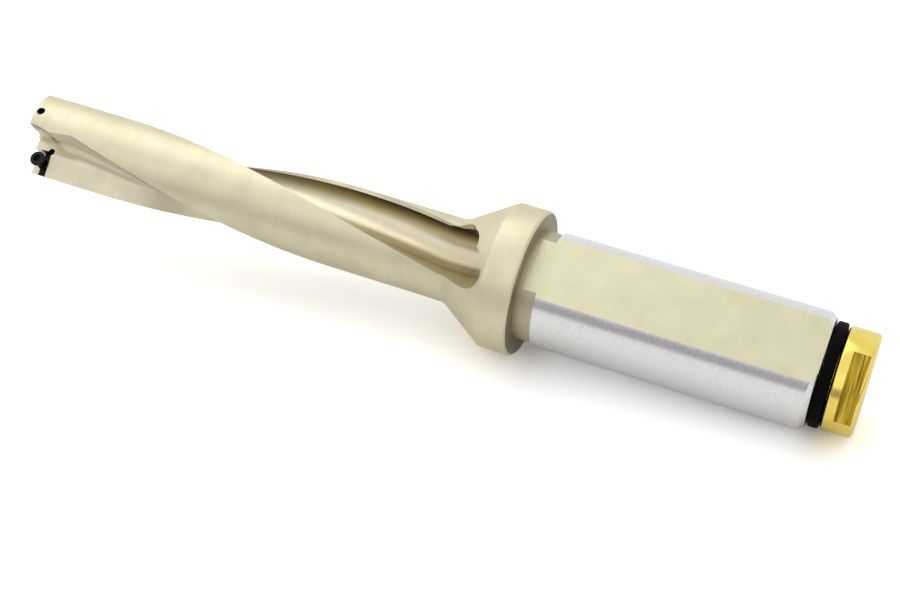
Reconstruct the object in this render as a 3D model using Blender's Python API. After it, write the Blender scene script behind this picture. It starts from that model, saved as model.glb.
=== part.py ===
"""Indexable insert drill, 15 mm, five diameters deep, with a 20 mm side-lock shank.

The tool is built standing on its shank end: Z runs from the shank's end face to the drill point, and +Y is
the normal of the clamping flat. At the end the whole tool is laid down as it lies on a table, on its
collar and on the rim of its shank, with the point raised. The origin is then the middle of the clamping
flat, where the screw of the tool holder holds it.
"""

import math

import bmesh
import bpy
from mathutils import Matrix, Vector

MM = 0.001
FULL_TURN = 2 * math.pi

# Turned outline of the steel body
FACETS = 64
SHANK_DIAMETER = 20.0 * MM
SHANK_LENGTH = 50.0 * MM
SHANK_END_CHAMFER = 0.9 * MM
NECK_DIAMETER = 19.0 * MM
NECK_LENGTH = 3.3 * MM
COLLAR_DIAMETER = 25.5 * MM
COLLAR_WIDTH = 5.5 * MM
COLLAR_CHAMFER = 0.35 * MM
CONE_HALF_ANGLE = math.radians(33.0)
BODY_DIAMETER = 14.8 * MM
BODY_FILLET = 3.0 * MM
FILLET_STEPS = 4
POINT_REACH = 91.7 * MM

# Clamping flat on the shank
FLAT_HEIGHT = 18.2 * MM
FLAT_END_GAP = 0.8 * MM

# Flutes: a ball mill cuts the channel, then relieves its heel, and last widens its lower end
HELIX_LEAD = 215.0 * MM
TWIST_STEP = math.radians(3.5)
STRAIGHT_FRONT = 10.3 * MM
HELIX_RUNOUT = 9.0 * MM
FLUTE_TURN = math.radians(-12.6)
FLUTE_RADIUS = 3.65 * MM
FLUTE_FLOOR = 0.3 * MM
RAKE_WALL_OFFSET = 0.4 * MM
FLUTE_RUNOUT = 4.15 * MM
ARC_STEPS = 14
HEEL_FLOOR = 5.87 * MM
HEEL_RUNOUT = 8.0 * MM
HEEL_TURN_AT_POINT = math.radians(59.6)
HEEL_TURN_AT_HELIX = math.radians(68.6)
HEEL_TURN_AT_END = math.radians(50.6)
SIDE_CUT_FLOOR = 3.3 * MM
SIDE_CUT_OFFSET = 0.25 * MM
SIDE_CUT_RUNOUT = 6.6 * MM
SIDE_CUT_LENGTH = 3.6 * MM
SIDE_CUT_TURN = math.radians(39.0)
SKIN_MARGIN = 0.2 * MM

# Insert pockets, each in a frame whose Y is the normal of the rake plane
POCKET_TURN = math.radians(-7.0)
INSERT_SIZE = 5.0 * MM
INSERT_THICKNESS = 2.4 * MM
SEAT_LENGTH = 3.4 * MM
POCKET_TILT = math.radians(5.0)
OUTER_POCKET_EDGE = 2.5 * MM
INNER_POCKET_EDGE = -0.15 * MM
INNER_SETBACK = 0.7 * MM
CORNER_RELIEF = 1.2 * MM
FACE_RELIEF = math.radians(6.0)
FACE_DISH = math.radians(5.0)
CLEARANCE_FLOOR = -0.5 * MM
CLEARANCE_RADIUS = 10.0 * MM
CLEARANCE_STRAIGHT = 1.2 * MM
OUTER_CLEARANCE_EDGE = 0.8 * MM
INNER_CLEARANCE_EDGE = -0.25 * MM

# Insert screws
SCREW_CORE = 1.5 * MM
SCREW_HEAD = 2.8 * MM
SCREW_LENGTH = 5.6 * MM
SCREW_RIM = 0.35 * MM
SCREW_CONE = 0.6 * MM
SCREW_FROM_SIDE = 2.05 * MM
SCREW_FROM_BACK = 1.9 * MM
SCREW_FACE = 0.35 * MM
SCREW_FACETS = 24
SOCKET_DIAMETER = 1.6 * MM
SOCKET_DEPTH = 0.65 * MM
SOCKET_LOBES = 6
SOCKET_LOBE_DEPTH = 0.16 * MM
THREAD_GAP = 0.25 * MM
PILOT_HOLE = 1.5 * MM

# Coolant way
FEED_BORE = 4.0 * MM
FEED_BORE_SHORT = 0.5 * MM
CHANNEL_DIAMETER = 1.5 * MM
CHANNEL_SIDES = 8
CHANNEL_RUNOUT = 6.5 * MM
CHANNEL_ENTRY_RADIUS = 1.3 * MM
OUTER_CHANNEL = (5.1 * MM, math.radians(-64.0))
INNER_CHANNEL = (5.84 * MM, math.radians(137.4))

# Seal ring and brass plug
SEAT_GAP = 0.25 * MM
SEAL_DIAMETER = 17.8 * MM
SEAL_THICKNESS = 1.8 * MM
SEAL_ROUND = 0.3 * MM
PLUG_DIAMETER = 17.5 * MM
PLUG_THICKNESS = 5.2 * MM
PLUG_CHAMFER = 0.4 * MM
SPIGOT_DIAMETER = 8.5 * MM
SPIGOT_LENGTH = 10.0 * MM
SPIGOT_CHAMFER = 0.5 * MM
BORE_SPARE_DEPTH = 1.0 * MM
PLUG_BORE = 4.0 * MM
WRENCH_SLOT_WIDTH = 2.75 * MM
WRENCH_SLOT_FLOOR = 6.55 * MM
WRENCH_SLOT_OFFSET = 1.9 * MM
WRENCH_TURN = math.radians(-33.0)

# How the tool lies: the facet under it is flat on the table, and the flat faces up and to the front
ROLL_FACETS = 4.5
HOLDING_HEIGHT = 24.5 * MM

SHANK_RADIUS = SHANK_DIAMETER / 2
COLLAR_RADIUS = COLLAR_DIAMETER / 2
BODY_RADIUS = BODY_DIAMETER / 2
COLLAR_FRONT = SHANK_LENGTH + COLLAR_WIDTH
POINT = COLLAR_FRONT + POINT_REACH
TWIST_START = POINT - STRAIGHT_FRONT
TWIST_END = COLLAR_FRONT + HELIX_RUNOUT
HELIX_TURN = (TWIST_START - TWIST_END) * FULL_TURN / HELIX_LEAD
FLUTE_END = COLLAR_FRONT + FLUTE_RUNOUT
HEEL_END = COLLAR_FRONT + HEEL_RUNOUT
SIDE_CUT_END = COLLAR_FRONT + SIDE_CUT_RUNOUT
FEED_BORE_END = COLLAR_FRONT - FEED_BORE_SHORT
CHANNEL_START = COLLAR_FRONT + CHANNEL_RUNOUT
REAR_BORE = SPIGOT_DIAMETER + 2 * SEAT_GAP
PLUG_SEAT = -2 * SEAT_GAP - SEAL_THICKNESS
OVERCUT = 2.0 * MM
SLACK = 0.01 * MM
MERGE_DISTANCE = 0.005 * MM
CUT_REACH = COLLAR_RADIUS + OVERCUT


def clear_scene():
    for thing in list(bpy.data.objects):
        bpy.data.objects.remove(thing, do_unlink=True)


def make_collection(name):
    collection = bpy.data.collections.new(name)
    bpy.context.scene.collection.children.link(collection)
    return collection


def make_material(name, colour, metallic, roughness):
    material = bpy.data.materials.new(name)
    material.use_nodes = True
    shader = material.node_tree.nodes["Principled BSDF"]
    shader.inputs["Base Color"].default_value = (*colour, 1.0)
    shader.inputs["Metallic"].default_value = metallic
    shader.inputs["Roughness"].default_value = roughness
    return material


def add_object(name, bm, collection):
    """Turns a finished bmesh into a named object."""
    mesh = bpy.data.meshes.new(name)
    bm.to_mesh(mesh)
    bm.free()
    thing = bpy.data.objects.new(name, mesh)
    collection.objects.link(thing)
    return thing


def finish_piece(piece, material):
    piece.data.materials.append(material)
    piece.data.shade_smooth()
    piece.data.set_sharp_from_angle(angle=math.radians(30.0))


def close_mesh(bm):
    bmesh.ops.remove_doubles(bm, verts=bm.verts, dist=MERGE_DISTANCE)
    bmesh.ops.recalc_face_normals(bm, faces=bm.faces)
    return bm


def turned(profile, sides=FACETS):
    """Revolves a closed profile of (radius, height) points about Z."""
    bm = bmesh.new()
    verts = [bm.verts.new((radius, 0.0, height)) for radius, height in profile]
    edges = [bm.edges.new(pair) for pair in zip(verts, verts[1:] + verts[:1])
             if pair[0].co.x > 0 or pair[1].co.x > 0]
    bmesh.ops.spin(bm, geom=verts + edges, cent=(0, 0, 0), axis=(0, 0, 1), angle=FULL_TURN, steps=sides,
                   use_merge=True)
    return close_mesh(bm)


def box(low, high):
    bm = bmesh.new()
    bmesh.ops.create_cube(bm, size=1.0)
    low, high = Vector(low), Vector(high)
    bmesh.ops.scale(bm, verts=bm.verts, vec=high - low)
    bmesh.ops.translate(bm, verts=bm.verts, vec=(low + high) / 2)
    return bm


def rod(diameter, start, end, sides=SCREW_FACETS):
    """A round bar between two points."""
    bm = bmesh.new()
    start, end = Vector(start), Vector(end)
    way = end - start
    bmesh.ops.create_cone(bm, cap_ends=True, segments=sides, radius1=diameter / 2, radius2=diameter / 2,
                          depth=way.length)
    bmesh.ops.rotate(bm, verts=bm.verts, cent=(0, 0, 0), matrix=way.to_track_quat("Z", "Y").to_matrix())
    bmesh.ops.translate(bm, verts=bm.verts, vec=(start + end) / 2)
    return bm


def prism(outline, depth):
    """A flat outline of points, extruded along a vector."""
    bm = bmesh.new()
    face = bm.faces.new([bm.verts.new(point) for point in outline])
    side = bmesh.ops.extrude_face_region(bm, geom=[face])
    moved = [item for item in side["geom"] if isinstance(item, bmesh.types.BMVert)]
    bmesh.ops.translate(bm, verts=moved, vec=depth)
    return close_mesh(bm)


def turn_about_axis(bm, angle):
    bmesh.ops.rotate(bm, verts=bm.verts, cent=(0, 0, 0), matrix=Matrix.Rotation(angle, 3, "Z"))
    return bm


def cut(target, name, bm):
    """Takes a cutter out of a piece, and keeps the cutter out of sight."""
    cutter = add_object(name, bm, cutters)
    cutter.hide_render = True
    cutter.display_type = "WIRE"
    modifier = target.modifiers.new(name, "BOOLEAN")
    modifier.operation = "DIFFERENCE"
    modifier.object = cutter
    modifier.solver = "EXACT"
    return cutter


def swept_bar(outline, bottom, front_turn=0.0, helix_turn=HELIX_TURN):
    """Sweeps an outline from above the point down the helix, then straight on to its lower end.

    Front turn is how far the outline turns over the front, which is straight where it is zero, and helix
    turn is how far it turns back over the helix. Returns the bar and the open edges of its lower end.
    """
    bm = bmesh.new()
    verts = [bm.verts.new((x, y, POINT + OVERCUT)) for x, y in outline]
    cap = bm.faces.new(verts)
    ring = cap.edges[:]
    stretches = [
        (1, 0.0, -OVERCUT),
        (1, front_turn, TWIST_START - POINT),
        (math.ceil(helix_turn / TWIST_STEP), -helix_turn, TWIST_END - TWIST_START),
        (1, 0.0, bottom - TWIST_END),
    ]
    for steps, turn, drop in stretches:
        corners = list({vert for edge in ring for vert in edge.verts})
        spun = bmesh.ops.spin(bm, geom=corners + ring, cent=(0, 0, 0), axis=(0, 0, 1), angle=turn,
                              steps=steps, dvec=(0, 0, drop / steps))
        ring = [item for item in spun["geom_last"] if isinstance(item, bmesh.types.BMEdge)]
    return bm, ring


def cap_open_ends(bm):
    bmesh.ops.remove_doubles(bm, verts=bm.verts, dist=MERGE_DISTANCE)
    bmesh.ops.holes_fill(bm, edges=[edge for edge in bm.edges if edge.is_boundary], sides=0)
    return close_mesh(bm)


def mill_outline(mill):
    """The section that the ball mill leaves: a half round, and straight walls out past the body."""
    arc = []
    for step in range(ARC_STEPS + 1):
        angle = -math.pi / 2 - math.pi * step / ARC_STEPS
        arc.append((mill.x + FLUTE_RADIUS * math.cos(angle), mill.y + FLUTE_RADIUS * math.sin(angle)))
    near = [(CUT_REACH, arc[0][1])]
    far = [(CUT_REACH, arc[-1][1])]
    skin = BODY_RADIUS + SKIN_MARGIN
    if mill.x < skin:
        near.append((skin, arc[0][1]))
        far.insert(0, (skin, arc[-1][1]))
    return near + arc + far


def round_end(bm, ring, centre, turn, angle):
    """The half ball that the mill leaves at the end of a pass, about its own axis."""
    across = turn @ Vector((0.0, 1.0, 0.0))
    far_half = [edge for edge in ring if all((vert.co - centre).dot(across) > -SLACK for vert in edge.verts)]
    far_verts = list({vert for edge in far_half for vert in edge.verts})
    bmesh.ops.spin(bm, geom=far_verts + far_half, cent=centre, axis=turn @ Vector((1.0, 0.0, 0.0)),
                   angle=angle, steps=ARC_STEPS)


def milled_pass(floor, offset, bottom, end_turn, **turns):
    """One pass of the ball mill, whose axis points along X, and its round end where the mill lifts out."""
    mill = Vector((floor + FLUTE_RADIUS, offset, 0.0))
    bm, ring = swept_bar(mill_outline(mill), bottom, **turns)
    turn = Matrix.Rotation(end_turn, 3, "Z")
    round_end(bm, ring, turn @ mill + Vector((0.0, 0.0, bottom)), turn, -math.pi)
    return cap_open_ends(bm)


def flute_cutter():
    """The channel, whose near wall is the rake wall."""
    return milled_pass(FLUTE_FLOOR, FLUTE_RADIUS - RAKE_WALL_OFFSET, FLUTE_END, -HELIX_TURN)


def heel_cutter():
    """The shallow second pass, which opens the heel and swings away from the channel towards the point."""
    front_turn = HEEL_TURN_AT_HELIX - HEEL_TURN_AT_POINT
    helix_turn = HELIX_TURN + HEEL_TURN_AT_HELIX - HEEL_TURN_AT_END
    bm = milled_pass(HEEL_FLOOR, 0.0, HEEL_END, front_turn - helix_turn, front_turn=front_turn,
                     helix_turn=helix_turn)
    return turn_about_axis(bm, HEEL_TURN_AT_POINT)


def side_cutter():
    """The short straight cut that widens the lower end of the channel, round at both of its ends."""
    mill = Vector((SIDE_CUT_FLOOR + FLUTE_RADIUS, SIDE_CUT_OFFSET, SIDE_CUT_END + SIDE_CUT_LENGTH))
    bm = bmesh.new()
    verts = [bm.verts.new((x, y, mill.z)) for x, y in mill_outline(mill)]
    upper = [bm.edges.new(pair) for pair in zip(verts, verts[1:] + verts[:1])]
    spun = bmesh.ops.spin(bm, geom=verts + upper, cent=(0, 0, 0), axis=(0, 0, 1), angle=0.0, steps=1,
                          dvec=(0, 0, -SIDE_CUT_LENGTH))
    lower = [item for item in spun["geom_last"] if isinstance(item, bmesh.types.BMEdge)]
    round_end(bm, upper, mill, Matrix.Identity(3), math.pi)
    round_end(bm, lower, mill - Vector((0.0, 0.0, SIDE_CUT_LENGTH)), Matrix.Identity(3), -math.pi)
    return turn_about_axis(cap_open_ends(bm), SIDE_CUT_TURN - HELIX_TURN)


def channel_cutter(radius, angle):
    """A coolant channel: a slanted feed out of the bore, then a hole that follows the helix to the face."""
    centre = Vector((radius * math.cos(angle), radius * math.sin(angle)))
    outline = []
    for side in range(CHANNEL_SIDES):
        around = FULL_TURN * side / CHANNEL_SIDES
        outline.append(centre + Vector((math.cos(around), math.sin(around))) * CHANNEL_DIAMETER / 2)
    bm, ring = swept_bar(outline, CHANNEL_START)
    feed = bmesh.ops.extrude_edge_only(bm, edges=ring)["geom"]
    entry = [item for item in feed if isinstance(item, bmesh.types.BMVert)]
    inward = Vector((math.cos(angle - HELIX_TURN), math.sin(angle - HELIX_TURN), 0.0))
    shift = inward * (CHANNEL_ENTRY_RADIUS - radius)
    shift.z = FEED_BORE_END - OVERCUT - CHANNEL_START
    bmesh.ops.translate(bm, verts=entry, vec=shift)
    return cap_open_ends(bm)


def pocket_cutter(edge, width, back, depth_top):
    """The seat of one insert: a box on its floor, tilted a little about the floor's normal."""
    bm = box((0.0, -INSERT_THICKNESS, 0.0), (width, depth_top, POINT - back + OVERCUT))
    return place_in_pocket(bm, edge, back)


def place_in_pocket(bm, edge, back):
    """Moves a shape from the corner of a pocket to its place on the tool."""
    bmesh.ops.rotate(bm, verts=bm.verts, cent=(0, 0, 0), matrix=Matrix.Rotation(POCKET_TILT, 3, "Y"))
    bmesh.ops.translate(bm, verts=bm.verts, vec=(edge, 0.0, back))
    return bm


def clearance_cutter(edge, back):
    """The room that the mill leaves over an insert, with the large round end of its path."""
    turn_point = back + CLEARANCE_STRAIGHT
    outline = [(CUT_REACH, CLEARANCE_FLOOR, POINT + OVERCUT), (edge, CLEARANCE_FLOOR, POINT + OVERCUT)]
    for step in range(ARC_STEPS + 1):
        angle = math.pi / 2 * step / ARC_STEPS
        outline.append((edge + CLEARANCE_RADIUS * (1 - math.cos(angle)), CLEARANCE_FLOOR,
                        turn_point - CLEARANCE_RADIUS * math.sin(angle)))
    outline.append((CUT_REACH, CLEARANCE_FLOOR, turn_point - CLEARANCE_RADIUS))
    return prism(outline, (0.0, COLLAR_RADIUS, 0.0))


def screw_mesh():
    """A countersunk insert screw along Z, its head's face at zero and its shank below."""
    head = SCREW_HEAD / 2
    core = SCREW_CORE / 2
    profile = [(0.0, 0.0), (head - SCREW_RIM / 3, 0.0), (head, -SCREW_RIM / 3), (head, -SCREW_RIM),
               (core, -SCREW_RIM - SCREW_CONE), (core, core / 2 - SCREW_LENGTH), (core / 2, -SCREW_LENGTH),
               (0.0, -SCREW_LENGTH)]
    return turned(profile, SCREW_FACETS)


def socket_cutter():
    """The six-lobed recess in the head of an insert screw."""
    outline = []
    for step in range(SOCKET_LOBES * 4):
        around = FULL_TURN * step / (SOCKET_LOBES * 4)
        radius = SOCKET_DIAMETER / 2 - SOCKET_LOBE_DEPTH * (0.5 - 0.5 * math.cos(SOCKET_LOBES * around))
        outline.append((radius * math.cos(around), radius * math.sin(around), -SOCKET_DEPTH))
    return prism(outline, (0.0, 0.0, SOCKET_DEPTH + SCREW_RIM))


def put(bm, matrix):
    bmesh.ops.transform(bm, matrix=matrix, verts=bm.verts)
    return bm


clear_scene()
tool_parts = make_collection("indexable_drill")
cutters = make_collection("cutters")
nickel = make_material("nickel_plated_steel", (0.56, 0.52, 0.42), 1.0, 0.35)
black_oxide = make_material("black_oxide_steel", (0.01, 0.01, 0.012), 0.6, 0.35)
rubber = make_material("black_rubber", (0.012, 0.012, 0.014), 0.0, 0.6)
brass = make_material("turned_brass", (0.78, 0.52, 0.10), 1.0, 0.25)

# Drill body, turned from one bar: shank, neck, collar, cone and body
cone_top = COLLAR_FRONT + (COLLAR_RADIUS - BODY_RADIUS) / math.tan(CONE_HALF_ANGLE)
fillet_reach = BODY_FILLET * math.tan(CONE_HALF_ANGLE / 2)
fillet = []
for step in range(FILLET_STEPS + 1):
    turn = CONE_HALF_ANGLE * step / FILLET_STEPS
    fillet.append((BODY_RADIUS + BODY_FILLET * (1 - math.cos(turn)),
                   cone_top + fillet_reach - BODY_FILLET * math.sin(turn)))
body_profile = [(0.0, POINT), (BODY_RADIUS, POINT)] + fillet + [
    (COLLAR_RADIUS, COLLAR_FRONT),
    (COLLAR_RADIUS, SHANK_LENGTH + COLLAR_CHAMFER),
    (COLLAR_RADIUS - COLLAR_CHAMFER, SHANK_LENGTH),
    (NECK_DIAMETER / 2, SHANK_LENGTH),
    (NECK_DIAMETER / 2, SHANK_LENGTH - NECK_LENGTH),
    (SHANK_RADIUS, SHANK_LENGTH - NECK_LENGTH),
    (SHANK_RADIUS, SHANK_END_CHAMFER),
    (SHANK_RADIUS - SHANK_END_CHAMFER, 0.0),
    (0.0, 0.0),
]
drill_body = add_object("drill_body", turned(body_profile), tool_parts)

cut(drill_body, "clamping_flat", box((-CUT_REACH, FLAT_HEIGHT - SHANK_RADIUS, -OVERCUT),
                                     (CUT_REACH, CUT_REACH, SHANK_LENGTH - FLAT_END_GAP)))

# The two halves of the point differ in where their pocket lies, across the axis and along it
outer_back = POINT - SEAT_LENGTH
inner_back = outer_back - INNER_SETBACK
halves = {
    "outer": (0.0, OUTER_POCKET_EDGE, CUT_REACH, outer_back, OUTER_CLEARANCE_EDGE, OUTER_CHANNEL),
    "inner": (math.pi, INNER_POCKET_EDGE, INSERT_SIZE + SEAT_GAP, inner_back, INNER_CLEARANCE_EDGE,
              INNER_CHANNEL),
}
for name, (half_turn, edge, width, back, clearance_edge, channel) in halves.items():
    flute_turn = FLUTE_TURN + half_turn
    cut(drill_body, name + "_flute", turn_about_axis(flute_cutter(), flute_turn))
    cut(drill_body, name + "_heel", turn_about_axis(heel_cutter(), flute_turn))
    cut(drill_body, name + "_side_cut", turn_about_axis(side_cutter(), flute_turn))

screw_places = {}
for name, (half_turn, edge, width, back, clearance_edge, channel) in halves.items():
    pocket_turn = POCKET_TURN + half_turn
    cut(drill_body, name + "_clearance", turn_about_axis(clearance_cutter(clearance_edge, back), pocket_turn))
    cut(drill_body, name + "_pocket", turn_about_axis(pocket_cutter(edge, width, back, OVERCUT), pocket_turn))

    relief = rod(CORNER_RELIEF, (0, -INSERT_THICKNESS, 0), (0, OVERCUT, 0))
    cut(drill_body, name + "_corner_relief", turn_about_axis(place_in_pocket(relief, edge, back), pocket_turn))

    across, along = SCREW_FROM_SIDE, SCREW_FROM_BACK
    tap_depth = SCREW_FACE - SCREW_LENGTH - THREAD_GAP
    tap = rod(SCREW_CORE + 2 * THREAD_GAP, (across, OVERCUT, along), (across, tap_depth, along))
    cut(drill_body, name + "_tapped_hole", turn_about_axis(place_in_pocket(tap, edge, back), pocket_turn))
    pilot = rod(PILOT_HOLE, (across, OVERCUT, along), (across, -CUT_REACH, along))
    cut(drill_body, name + "_pilot_hole", turn_about_axis(place_in_pocket(pilot, edge, back), pocket_turn))

    radius, angle = channel
    own_angle = angle + POCKET_TURN
    cut(drill_body, name + "_coolant_channel", channel_cutter(radius, own_angle))

    screw_places[name] = (Matrix.Rotation(pocket_turn, 4, "Z") @ Matrix.Translation((edge, 0.0, back))
                          @ Matrix.Rotation(POCKET_TILT, 4, "Y")
                          @ Matrix.Translation((across, SCREW_FACE, along))
                          @ Matrix.Rotation(-math.pi / 2, 4, "X"))

# The face of the half with the inner pocket is set back, and both faces fall away behind their edges
for name, (half_turn, edge, width, back, clearance_edge, channel) in halves.items():
    face_height = POINT if name == "outer" else POINT - INNER_SETBACK
    wedge = box((-CUT_REACH, -CUT_REACH, 0.0), (CUT_REACH, 0.0, CUT_REACH))
    dish = FACE_DISH if name == "inner" else 0.0
    slope = Matrix.Rotation(FACE_RELIEF, 3, "X") @ Matrix.Rotation(-dish, 3, "Y")
    bmesh.ops.rotate(wedge, verts=wedge.verts, cent=(0, 0, 0), matrix=slope)
    bmesh.ops.translate(wedge, verts=wedge.verts, vec=(0.0, 0.0, face_height))
    cut(drill_body, name + "_face_relief", turn_about_axis(wedge, POCKET_TURN + half_turn))

bore_bottom = SPIGOT_LENGTH + PLUG_SEAT + BORE_SPARE_DEPTH
cut(drill_body, "rear_bore", rod(REAR_BORE, (0, 0, -OVERCUT), (0, 0, bore_bottom), FACETS // 2))
cut(drill_body, "feed_bore", rod(FEED_BORE, (0, 0, bore_bottom - OVERCUT), (0, 0, FEED_BORE_END), FACETS // 2))

# Insert screws, one in each pocket
screws = []
for name, place in screw_places.items():
    screw = add_object(name + "_insert_screw", put(screw_mesh(), place), tool_parts)
    cut(screw, name + "_screw_socket", put(socket_cutter(), place))
    screws.append(screw)

# Seal ring, a flat rubber ring squeezed between the shank's end face and the plug
seal_inner = REAR_BORE / 2
seal_outer = SEAL_DIAMETER / 2
seal_top = -SEAT_GAP
seal_bottom = seal_top - SEAL_THICKNESS
seal_ring = add_object("seal_ring", turned([
    (seal_inner, seal_top),
    (seal_outer - SEAL_ROUND, seal_top),
    (seal_outer, seal_top - SEAL_ROUND),
    (seal_outer, seal_bottom + SEAL_ROUND),
    (seal_outer - SEAL_ROUND, seal_bottom),
    (seal_inner, seal_bottom),
]), tool_parts)

# Brass plug, a hollow screw with a slot for the wrench on two sides of its head
plug_outer = PLUG_DIAMETER / 2
plug_end = PLUG_SEAT - PLUG_THICKNESS
spigot_top = PLUG_SEAT + SPIGOT_LENGTH
spigot = SPIGOT_DIAMETER / 2
coolant_plug = add_object("coolant_plug", turned([
    (PLUG_BORE / 2, spigot_top),
    (spigot - SPIGOT_CHAMFER, spigot_top),
    (spigot, spigot_top - SPIGOT_CHAMFER),
    (spigot, PLUG_SEAT),
    (plug_outer - PLUG_CHAMFER, PLUG_SEAT),
    (plug_outer, PLUG_SEAT - PLUG_CHAMFER),
    (plug_outer, plug_end + PLUG_CHAMFER),
    (plug_outer - PLUG_CHAMFER, plug_end),
    (PLUG_BORE / 2 + PLUG_CHAMFER, plug_end),
    (PLUG_BORE / 2, plug_end + PLUG_CHAMFER),
]), tool_parts)
slot_top = PLUG_SEAT - WRENCH_SLOT_OFFSET
for side, half_turn in (("front", 0.0), ("back", math.pi)):
    slot = box((-CUT_REACH, WRENCH_SLOT_FLOOR, slot_top - WRENCH_SLOT_WIDTH), (CUT_REACH, CUT_REACH, slot_top))
    cut(coolant_plug, side + "_wrench_slot", turn_about_axis(slot, WRENCH_TURN + half_turn))

finish_piece(drill_body, nickel)
finish_piece(seal_ring, rubber)
finish_piece(coolant_plug, brass)
for screw in screws:
    finish_piece(screw, black_oxide)

# Lay the tool down on the back rim of its collar and the rim of its shank
rest_tilt = math.atan2((COLLAR_RADIUS - SHANK_RADIUS) * math.cos(math.pi / FACETS),
                       SHANK_LENGTH + COLLAR_CHAMFER - SHANK_END_CHAMFER)
roll = -ROLL_FACETS * FULL_TURN / FACETS
tool_axis = Vector((-math.cos(rest_tilt), 0.0, math.sin(rest_tilt)))
upward = Vector((math.sin(rest_tilt), 0.0, math.cos(rest_tilt)))
sideways = upward.cross(tool_axis)
standing = Matrix((sideways, upward, tool_axis)).transposed()
lay_down = bpy.data.objects.new("tool_frame", None)
tool_parts.objects.link(lay_down)
pieces = [drill_body, seal_ring, coolant_plug] + screws
for piece in pieces + list(cutters.objects):
    piece.parent = lay_down
turned_down = standing @ Matrix.Rotation(roll, 3, "Z")
holding_point = Vector((0.0, FLAT_HEIGHT - SHANK_RADIUS, HOLDING_HEIGHT))
lay_down.matrix_world = Matrix.Translation(-(turned_down @ holding_point)) @ turned_down.to_4x4()
bpy.context.view_layer.update()
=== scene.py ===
"""Looks of an indexable insert drill that lies on a white table, resting on its collar and its shank."""

import math
from collections import namedtuple

import bmesh
import bpy
from mathutils import Matrix, Vector


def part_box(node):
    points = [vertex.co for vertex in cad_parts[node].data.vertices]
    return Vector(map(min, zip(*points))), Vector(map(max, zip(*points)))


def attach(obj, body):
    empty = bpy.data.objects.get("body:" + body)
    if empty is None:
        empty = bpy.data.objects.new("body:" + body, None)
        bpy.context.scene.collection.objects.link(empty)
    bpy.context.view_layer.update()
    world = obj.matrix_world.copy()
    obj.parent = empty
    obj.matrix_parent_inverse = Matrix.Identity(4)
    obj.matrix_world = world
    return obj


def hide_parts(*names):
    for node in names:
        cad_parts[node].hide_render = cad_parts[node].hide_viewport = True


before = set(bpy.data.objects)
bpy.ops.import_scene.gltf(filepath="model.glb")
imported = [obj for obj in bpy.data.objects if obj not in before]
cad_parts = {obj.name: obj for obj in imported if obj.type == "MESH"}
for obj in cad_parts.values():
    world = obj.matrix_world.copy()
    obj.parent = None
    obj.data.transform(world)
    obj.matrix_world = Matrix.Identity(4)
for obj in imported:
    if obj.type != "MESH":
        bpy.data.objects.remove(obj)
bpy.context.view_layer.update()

# Drill body
# One bar of tool steel: ground shank with a clamping flat, neck, collar, cone and a body with two helical
# flutes. It is turned, milled, drilled for coolant and nickel plated, and then its shank is ground bright.
MM = 0.001
FULL_TURN = 2 * math.pi
BODY_SIDES = 192
SHANK_RADIUS = 10.0 * MM
SHANK_LENGTH = 50.0 * MM
SHANK_END_CHAMFER = 0.9 * MM
NECK_RADIUS = 9.5 * MM
NECK_START = 46.7 * MM
COLLAR_RADIUS = 12.75 * MM
COLLAR_FRONT = 55.5 * MM
COLLAR_CHAMFER = 0.35 * MM
EDGE_ROUND = 0.12 * MM
CONE_HALF_ANGLE = math.radians(33.0)
BODY_RADIUS = 7.4 * MM
BODY_FILLET = 3.0 * MM
FILLET_STEPS = 12
RING_SPACING = 2.0 * MM
RING_COUNT = 39
POINT = 147.2 * MM
FLAT_HEIGHT = 8.2 * MM
FLAT_END = 49.2 * MM
OVERCUT = 2.0 * MM
CUT_REACH = COLLAR_RADIUS + OVERCUT
SLACK = 0.01 * MM
MERGE_DISTANCE = 0.002 * MM
WELD_DISTANCE = 0.0005 * MM
BODY_SHARP_ANGLE = math.radians(25.0)

HELIX_LEAD = 215.0 * MM
TWIST_STEP = math.radians(1.4)
TWIST_START = POINT - 10.3 * MM
TWIST_END = COLLAR_FRONT + 9.0 * MM
HELIX_TURN = (TWIST_START - TWIST_END) * FULL_TURN / HELIX_LEAD
STEPS_ABOVE_TWIST = 4
STEPS_BELOW_TWIST = 2
MILL_RADIUS = 3.65 * MM
MILL_STEPS = 32
OUTER_WALL_POINT = BODY_RADIUS + 0.2 * MM
INNER_WALL_POINT = BODY_RADIUS - 1.2 * MM
FLUTE_TURN = math.radians(-12.6)
FLUTE_FLOOR = 0.3 * MM
RAKE_WALL_OFFSET = 0.4 * MM
FLUTE_END = COLLAR_FRONT + 4.15 * MM
HEEL_FLOOR = 5.87 * MM
HEEL_END = COLLAR_FRONT + 8.0 * MM
HEEL_TURN_AT_POINT = math.radians(59.6)
HEEL_TURN_AT_HELIX = math.radians(68.6)
HEEL_TURN_AT_END = math.radians(50.6)
SIDE_CUT_FLOOR = 3.3 * MM
SIDE_CUT_OFFSET = 0.25 * MM
SIDE_CUT_END = COLLAR_FRONT + 6.6 * MM
SIDE_CUT_LENGTH = 3.6 * MM
SIDE_CUT_TURN = math.radians(39.0)

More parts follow.
